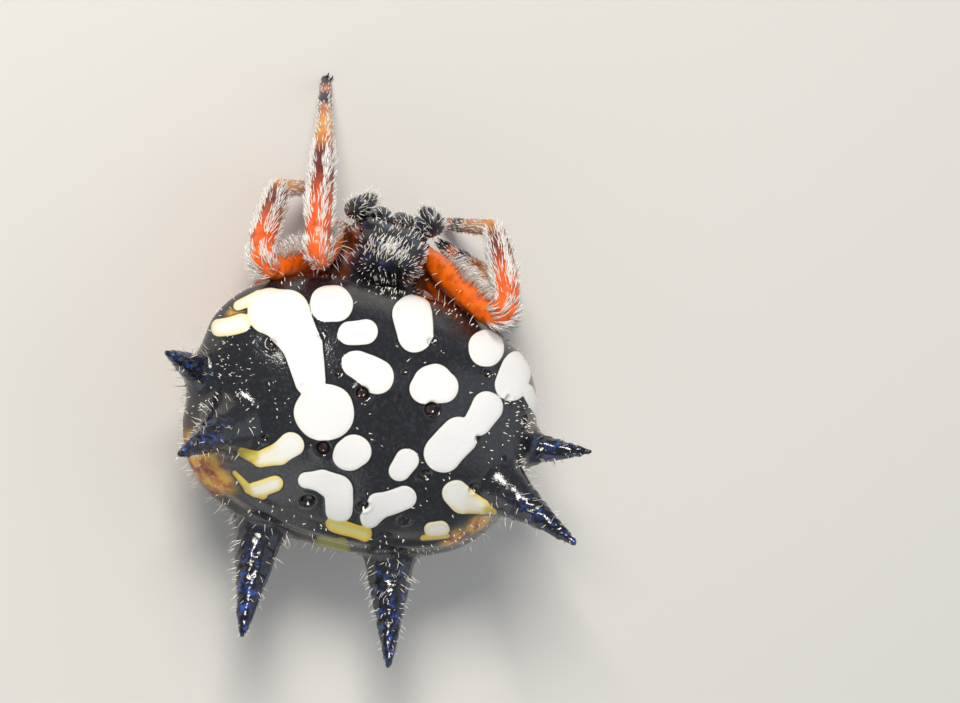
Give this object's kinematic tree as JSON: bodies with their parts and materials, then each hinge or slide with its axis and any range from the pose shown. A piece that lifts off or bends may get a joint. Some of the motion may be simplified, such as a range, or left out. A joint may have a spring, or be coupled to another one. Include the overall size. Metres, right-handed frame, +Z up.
{
  "type": "christmas jewel spider",
  "caption": "Life-size still model of an adult female christmas jewel spider standing on its feet, with a broad spiny black abdomen, spotted white, and orange legs.",
  "frame": {"origin": "on the floor under the middle of the body", "axes": "+Y towards the head, +X towards the animal's right, +Z up"},
  "size_m": [0.0118, 0.0148, 0.0068],
  "materials": {
    "abdomen": "glossy black cuticle with enamel-white spots, yellow near the rear margin",
    "carapace": "black cuticle with pale hairs",
    "underside": "dark brown cuticle",
    "mouthparts": "black cuticle, reddish at the fangs",
    "eyes": "clear dark lens",
    "legs": "bright orange cuticle with white bristles, dark at the toes"
  },
  "bodies": {
    "root": {"abdomen": "abdomen", "carapace": "carapace", "chelicera_left": "mouthparts", "chelicera_right": "mouthparts", "eye_front_middle_left": "eyes", "eye_front_middle_right": "eyes", "eye_front_side_left": "eyes", "eye_front_side_right": "eyes", "eye_rear_middle_left": "eyes", "eye_rear_middle_right": "eyes", "eye_rear_side_left": "eyes", "eye_rear_side_right": "eyes", "fang_left": "mouthparts", "fang_right": "mouthparts", "leg_left_1_femur": "legs", "leg_left_1_tarsus": "legs", "leg_left_1_tibia": "legs", "leg_left_2_femur": "legs", "leg_left_2_tarsus": "legs", "leg_left_2_tibia": "legs", "leg_left_3_femur": "legs", "leg_left_3_tarsus": "legs", "leg_left_3_tibia": "legs", "leg_left_4_femur": "legs", "leg_left_4_tarsus": "legs", "leg_left_4_tibia": "legs", "leg_right_1_femur": "legs", "leg_right_1_tarsus": "legs", "leg_right_1_tibia": "legs", "leg_right_2_femur": "legs", "leg_right_2_tarsus": "legs", "leg_right_2_tibia": "legs", "leg_right_3_femur": "legs", "leg_right_3_tarsus": "legs", "leg_right_3_tibia": "legs", "leg_right_4_femur": "legs", "leg_right_4_tarsus": "legs", "leg_right_4_tibia": "legs", "mouth_plates": "mouthparts", "palp_left": "carapace", "palp_right": "carapace", "pedicel": "carapace", "spinnerets": "underside", "sternum": "underside"}
  },
  "joints": []
}
